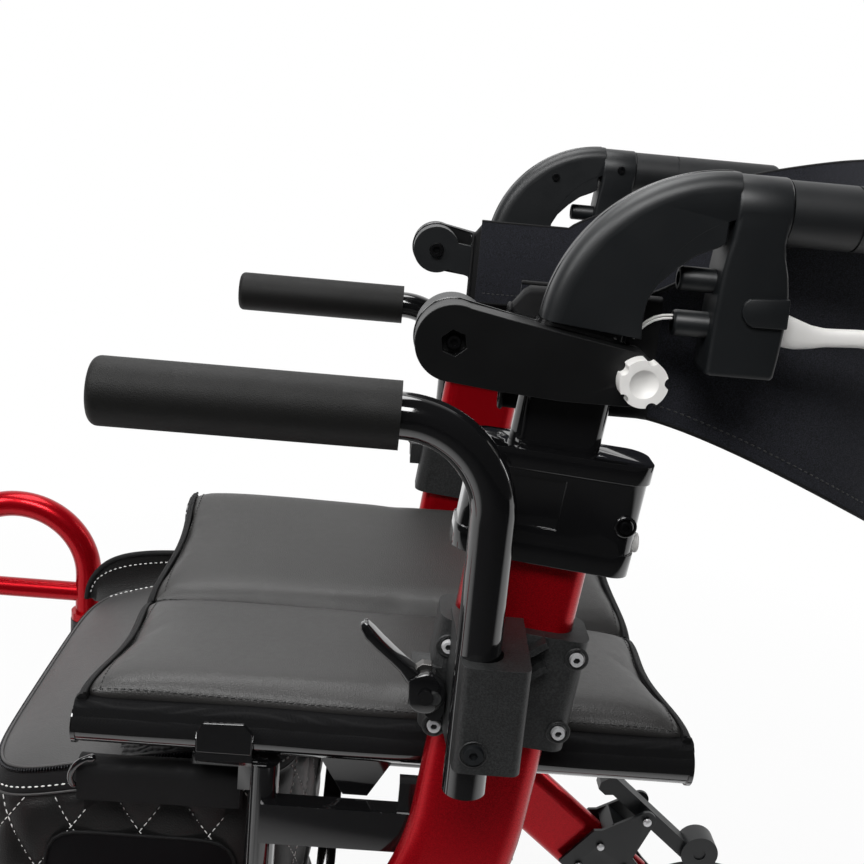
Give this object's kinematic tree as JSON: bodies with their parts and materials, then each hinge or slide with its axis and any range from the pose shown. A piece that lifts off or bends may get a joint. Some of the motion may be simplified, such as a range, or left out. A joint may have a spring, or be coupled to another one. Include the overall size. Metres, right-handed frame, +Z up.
{
  "type": "rollator transport chair",
  "caption": "Side-folding rollator that doubles as a transport chair: padded sling seat, swing-over back band, armrests, footrests, loop brakes and swivel front wheels.",
  "frame": {"origin": "on the floor at the middle of the whole length and width", "axes": "+X the way the sitter faces, +Y the sitter's left, +Z up"},
  "size_m": [1.006, 0.604, 0.9605],
  "materials": {
    "red_paint": "candy metallic red, clear coated",
    "black_paint": "gloss black",
    "black_plastic": "satin black moulding",
    "grained_nylon": "fine grained dark grey",
    "ivory": "warm white",
    "grip_rubber": "matt",
    "tyre": "matt",
    "vinyl": "soft vinyl, stitched",
    "band_cloth": "close woven"
  },
  "bodies": {
    "left_side": {"left_frame": "red_paint", "left_inner_frame": "black_paint", "left_socket": "black_plastic", "left_collar": "black_paint", "left_arm_bracket": "grained_nylon", "left_rear_fork": "black_paint", "bag": "vinyl"},
    "right_side": {"right_frame": "red_paint", "right_inner_frame": "black_paint", "right_socket": "black_plastic", "right_collar": "black_paint", "right_arm_bracket": "grained_nylon", "right_rear_fork": "black_paint"},
    "brace_a_bar": {"brace_a": "black_paint", "seat_right": "vinyl"},
    "brace_b_bar": {"brace_b": "black_paint", "seat_left": "vinyl"},
    "left_handle": {"left_handle_post": "black_paint", "left_elbow": "black_plastic", "left_brake_housing": "black_plastic", "left_grip": "grip_rubber", "left_back_bracket": "black_plastic"},
    "left_lever": {"left_brake_lever": "ivory"},
    "left_back_knob": {"left_knob": "ivory"},
    "left_back": {"left_back_arm": "black_plastic", "back_band": "band_cloth"},
    "left_armrest": {"left_arm_tube": "black_paint", "left_arm_foam": "grip_rubber"},
    "left_cam": {"left_cam_lever": "black_plastic"},
    "left_release": {"left_button": "ivory"},
    "left_caster": {"left_fork": "black_paint"},
    "left_front": {"left_front_wheel": "black_plastic", "left_front_tyre": "tyre"},
    "left_rear": {"left_rear_wheel": "black_plastic", "left_rear_tyre": "tyre"},
    "left_brake": {"left_brake_arm": "black_plastic"},
    "left_foot_hanger": {"left_hanger": "red_paint"},
    "left_foot": {"left_footplate": "black_plastic"},
    "right_handle": {"right_handle_post": "black_paint", "right_elbow": "black_plastic", "right_brake_housing": "black_plastic", "right_grip": "grip_rubber", "right_back_bracket": "black_plastic"},
    "right_lever": {"right_brake_lever": "ivory"},
    "right_back_knob": {"right_knob": "ivory"},
    "right_back": {"right_back_arm": "black_plastic"},
    "right_armrest": {"right_arm_tube": "black_paint", "right_arm_foam": "grip_rubber"},
    "right_cam": {"right_cam_lever": "black_plastic"},
    "right_release": {"right_button": "ivory"},
    "right_caster": {"right_fork": "black_paint"},
    "right_front": {"right_front_wheel": "black_plastic", "right_front_tyre": "tyre"},
    "right_rear": {"right_rear_wheel": "black_plastic", "right_rear_tyre": "tyre"},
    "right_brake": {"right_brake_arm": "black_plastic"},
    "right_foot_hanger": {"right_hanger": "red_paint"},
    "right_foot": {"right_footplate": "black_plastic"}
  },
  "joints": [
    {"name": "fold", "type": "hinge", "parent": "left_side", "child": "brace_a_bar", "pos_m": [0.003, 0.19, 0.33], "axis": [-1, 0, 0], "range_deg": [0, 37], "deforming": ["seat_left", "seat_right", "bag", "back_band"]},
    {"name": "fold_cross", "type": "hinge", "parent": "brace_a_bar", "child": "brace_b_bar", "pos_m": [-0.006, 0, 0.44715], "axis": [-1, 0, 0], "range_deg": [-74, 0]},
    {"name": "fold_right", "type": "hinge", "parent": "brace_b_bar", "child": "right_side", "pos_m": [-0.015, -0.19, 0.33], "axis": [-1, 0, 0], "range_deg": [0, 37]},
    {"name": "left_height", "type": "slide", "parent": "left_side", "child": "left_handle", "axis": [-0.1045, 0, 0.9945], "range_m": [0, 0.075]},
    {"name": "left_squeeze", "type": "hinge", "parent": "left_handle", "child": "left_lever", "pos_m": [-0.221, 0.228, 0.864], "axis": [0, 1, 0], "range_deg": [0, 14], "stiffness_Nm_per_rad": 0.6},
    {"name": "left_brake_turn", "type": "hinge", "parent": "left_side", "child": "left_brake", "pos_m": [-0.32519, 0.228, 0.26369], "axis": [0, -1, 0], "range_deg": [0, 1.79]},
    {"name": "left_knob_turn", "type": "hinge", "parent": "left_handle", "child": "left_back_knob", "pos_m": [-0.152, 0.258, 0.833], "axis": [0, 1, 0], "continuous": true},
    {"name": "left_back_swing", "type": "hinge", "parent": "left_handle", "child": "left_back", "pos_m": [-0.0485, 0.218, 0.844], "axis": [0, 1, 0], "range_deg": [0, 180]},
    {"name": "left_armrest_height", "type": "slide", "parent": "left_side", "child": "left_armrest", "axis": [0, 0, 1], "range_m": [-0.062, 0.031]},
    {"name": "left_cam_turn", "type": "hinge", "parent": "left_side", "child": "left_cam", "pos_m": [-0.051, 0.256, 0.639], "axis": [0, 1, 0], "range_deg": [0, 100]},
    {"name": "left_press", "type": "slide", "parent": "left_side", "child": "left_release", "axis": [1, 0, 0], "range_m": [0, 0.004], "stiffness_N_per_m": 300},
    {"name": "left_swivel", "type": "hinge", "parent": "left_side", "child": "left_caster", "pos_m": [0.19, 0.228, 0.32], "axis": [0, 0, 1], "continuous": true},
    {"name": "left_front_spin", "type": "hinge", "parent": "left_caster", "child": "left_front", "pos_m": [0.145, 0.228, 0.125], "axis": [0, 1, 0], "continuous": true},
    {"name": "left_rear_spin", "type": "hinge", "parent": "left_side", "child": "left_rear", "pos_m": [-0.403, 0.228, 0.1], "axis": [0, 1, 0], "continuous": true},
    {"name": "left_hanger_swing", "type": "hinge", "parent": "left_side", "child": "left_foot_hanger", "pos_m": [0.27, 0.228, 0.4], "axis": [0, 0, 1], "range_deg": [0, 90]},
    {"name": "left_foot_fold", "type": "hinge", "parent": "left_foot_hanger", "child": "left_foot", "pos_m": [0.41, 0.205, 0.196], "axis": [-1, 0, 0], "range_deg": [-90, 0]},
    {"name": "right_height", "type": "slide", "parent": "right_side", "child": "right_handle", "axis": [-0.1045, 0, 0.9945], "range_m": [0, 0.075]},
    {"name": "right_squeeze", "type": "hinge", "parent": "right_handle", "child": "right_lever", "pos_m": [-0.221, -0.228, 0.864], "axis": [0, 1, 0], "range_deg": [0, 14], "stiffness_Nm_per_rad": 0.6},
    {"name": "right_brake_turn", "type": "hinge", "parent": "right_side", "child": "right_brake", "pos_m": [-0.32519, -0.228, 0.26369], "axis": [0, -1, 0], "range_deg": [0, 1.79]},
    {"name": "right_knob_turn", "type": "hinge", "parent": "right_handle", "child": "right_back_knob", "pos_m": [-0.152, -0.258, 0.833], "axis": [0, 1, 0], "continuous": true},
    {"name": "right_back_swing", "type": "hinge", "parent": "right_handle", "child": "right_back", "pos_m": [-0.0485, -0.218, 0.844], "axis": [0, 1, 0], "range_deg": [0, 180]},
    {"name": "right_armrest_height", "type": "slide", "parent": "right_side", "child": "right_armrest", "axis": [0, 0, 1], "range_m": [-0.031, 0.062]},
    {"name": "right_cam_turn", "type": "hinge", "parent": "right_side", "child": "right_cam", "pos_m": [-0.051, -0.256, 0.639], "axis": [0, 1, 0], "range_deg": [0, 100]},
    {"name": "right_press", "type": "slide", "parent": "right_side", "child": "right_release", "axis": [1, 0, 0], "range_m": [0, 0.004], "stiffness_N_per_m": 300},
    {"name": "right_swivel", "type": "hinge", "parent": "right_side", "child": "right_caster", "pos_m": [0.19, -0.228, 0.32], "axis": [0, 0, 1], "continuous": true},
    {"name": "right_front_spin", "type": "hinge", "parent": "right_caster", "child": "right_front", "pos_m": [0.145, -0.228, 0.125], "axis": [0, 1, 0], "continuous": true},
    {"name": "right_rear_spin", "type": "hinge", "parent": "right_side", "child": "right_rear", "pos_m": [-0.403, -0.228, 0.1], "axis": [0, 1, 0], "continuous": true},
    {"name": "right_hanger_swing", "type": "hinge", "parent": "right_side", "child": "right_foot_hanger", "pos_m": [0.27, -0.228, 0.4], "axis": [0, 0, -1], "range_deg": [0, 90]},
    {"name": "right_foot_fold", "type": "hinge", "parent": "right_foot_hanger", "child": "right_foot", "pos_m": [0.41, -0.205, 0.196], "axis": [1, 0, 0], "range_deg": [-90, 0]}
  ],
  "couplings": [
    {"joint": "fold_cross", "follows": "fold", "ratio": -2},
    {"joint": "fold_right", "follows": "fold", "ratio": 1},
    {"joint": "left_brake_turn", "follows": "left_squeeze", "ratio": 0.12786},
    {"joint": "right_brake_turn", "follows": "right_squeeze", "ratio": 0.12786},
    {"joint": "right_height", "follows": "left_height", "ratio": 1},
    {"joint": "right_back_swing", "follows": "left_back_swing", "ratio": 1}
  ]
}
